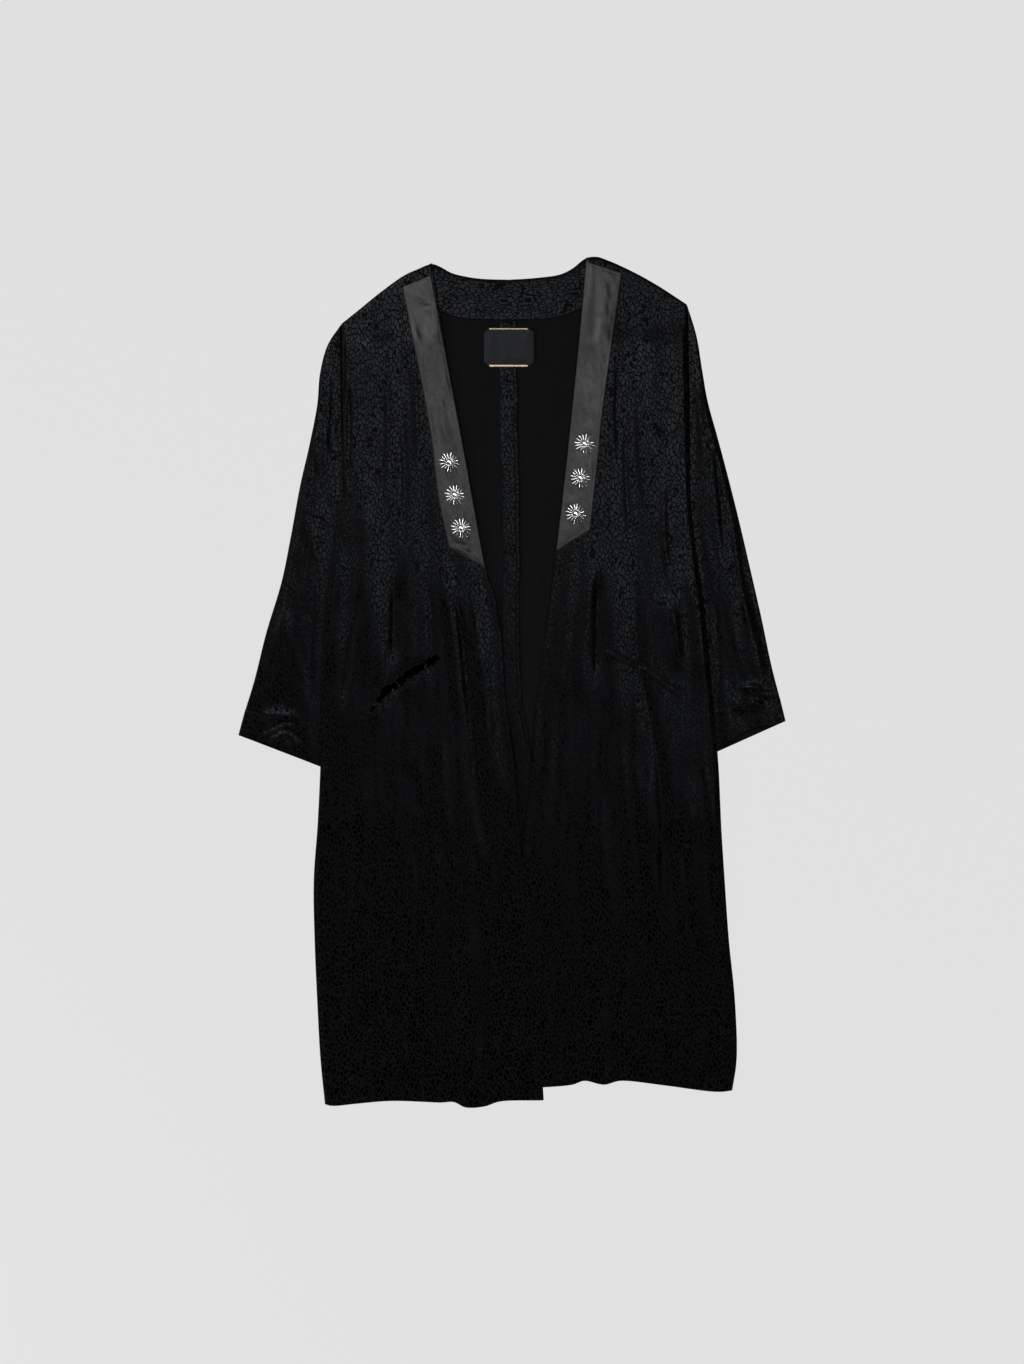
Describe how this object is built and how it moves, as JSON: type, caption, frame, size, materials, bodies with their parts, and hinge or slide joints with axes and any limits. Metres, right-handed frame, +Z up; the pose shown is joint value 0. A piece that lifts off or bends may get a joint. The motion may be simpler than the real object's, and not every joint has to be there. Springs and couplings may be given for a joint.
{
  "type": "kimono jacket, laid flat",
  "caption": "Long open-front kimono jacket in black leopard jacquard, laid flat, with leather lapel bands, sunburst studs and slanted welt pockets.",
  "frame": {"origin": "middle of the outline in plan, on the surface that the jacket lies on", "axes": "+Z up from the surface, +Y from hem to neck, +X to the right of someone who looks down on the front"},
  "size_m": [0.6436, 0.9999, 0.01],
  "materials": {
    "jacquard": "black jacquard, satin leopard blobs and rings on a matt ground",
    "cloth_inside": "plain matt reverse of the same cloth",
    "leather": "smooth black leather, soft sheen, light creases",
    "label_cloth": "blank black satin label, gold thread bar above and below",
    "stud_metal": "polished pale metal"
  },
  "bodies": {
    "root": {"front_left": "jacquard", "front_right": "jacquard", "sleeve_left": "jacquard", "sleeve_right": "jacquard", "cuff_left": "jacquard", "cuff_right": "jacquard", "neck_facing": "jacquard", "back_seam_tape": "jacquard", "pocket_welt_left": "jacquard", "pocket_welt_right": "jacquard", "back_left": "cloth_inside", "back_right": "cloth_inside", "lapel_left": "leather", "lapel_right": "leather", "label": "label_cloth", "stud_left_1": "stud_metal", "stud_left_2": "stud_metal", "stud_left_3": "stud_metal", "stud_right_1": "stud_metal", "stud_right_2": "stud_metal", "stud_right_3": "stud_metal"}
  },
  "joints": []
}
